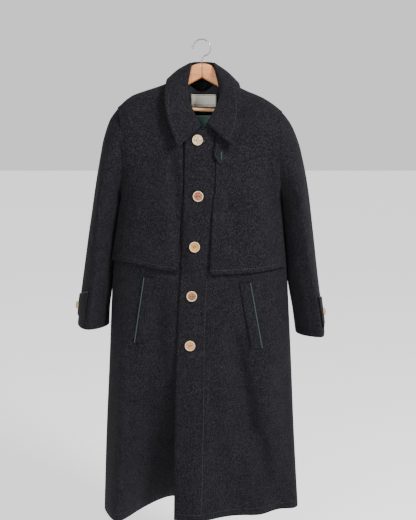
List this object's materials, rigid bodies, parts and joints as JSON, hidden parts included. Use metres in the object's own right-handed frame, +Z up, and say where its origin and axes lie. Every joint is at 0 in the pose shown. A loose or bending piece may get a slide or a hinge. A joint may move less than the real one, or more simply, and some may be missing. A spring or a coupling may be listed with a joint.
{
  "type": "wool overcoat on wooden hanger",
  "caption": "Long charcoal wool overcoat with storm flaps, buttoned front, piped welt pockets and cuff straps, hanging rigid and empty on its wooden hanger with a wire hook.",
  "frame": {"origin": "just inside the top of the hanger hook's bend, where the hook hangs on a rail or pin", "axes": "+Z up along the hanging coat, -Y the way the front faces, +X the wearer's left"},
  "size_m": [0.7136, 0.3251, 1.3367],
  "materials": {
    "wool": "matt charcoal loden melange",
    "facing": "dark smooth cloth",
    "lining": "green satin",
    "label": "plain woven ribbon",
    "piping": "grey-green corded edge",
    "horn": "brown mottled, satin",
    "wood": "pale beech, lacquered",
    "steel": "plated wire"
  },
  "bodies": {
    "root": {"back_panel": "wool", "front_left": "wool", "front_right": "wool", "storm_flap_left": "wool", "storm_flap_right": "wool", "sleeve_front_left": "wool", "sleeve_back_left": "wool", "sleeve_front_right": "wool", "sleeve_back_right": "wool", "shoulder_cap_left": "wool", "shoulder_cap_right": "wool", "collar": "wool", "throat_tab": "wool", "cuff_strap_left": "wool", "cuff_strap_right": "wool", "pocket_welt_left": "wool", "pocket_welt_right": "wool", "neck_facing": "facing", "back_lining": "lining", "neck_label": "label", "pocket_piping_left": "piping", "pocket_piping_right": "piping", "button_1": "horn", "button_2": "horn", "button_3": "horn", "button_4": "horn", "button_5": "horn", "cuff_button_left": "horn", "cuff_button_right": "horn", "hanger_arm_left": "wood", "hanger_arm_right": "wood", "trouser_bar": "wood", "hook": "steel", "hook_tip": "steel"}
  },
  "joints": []
}
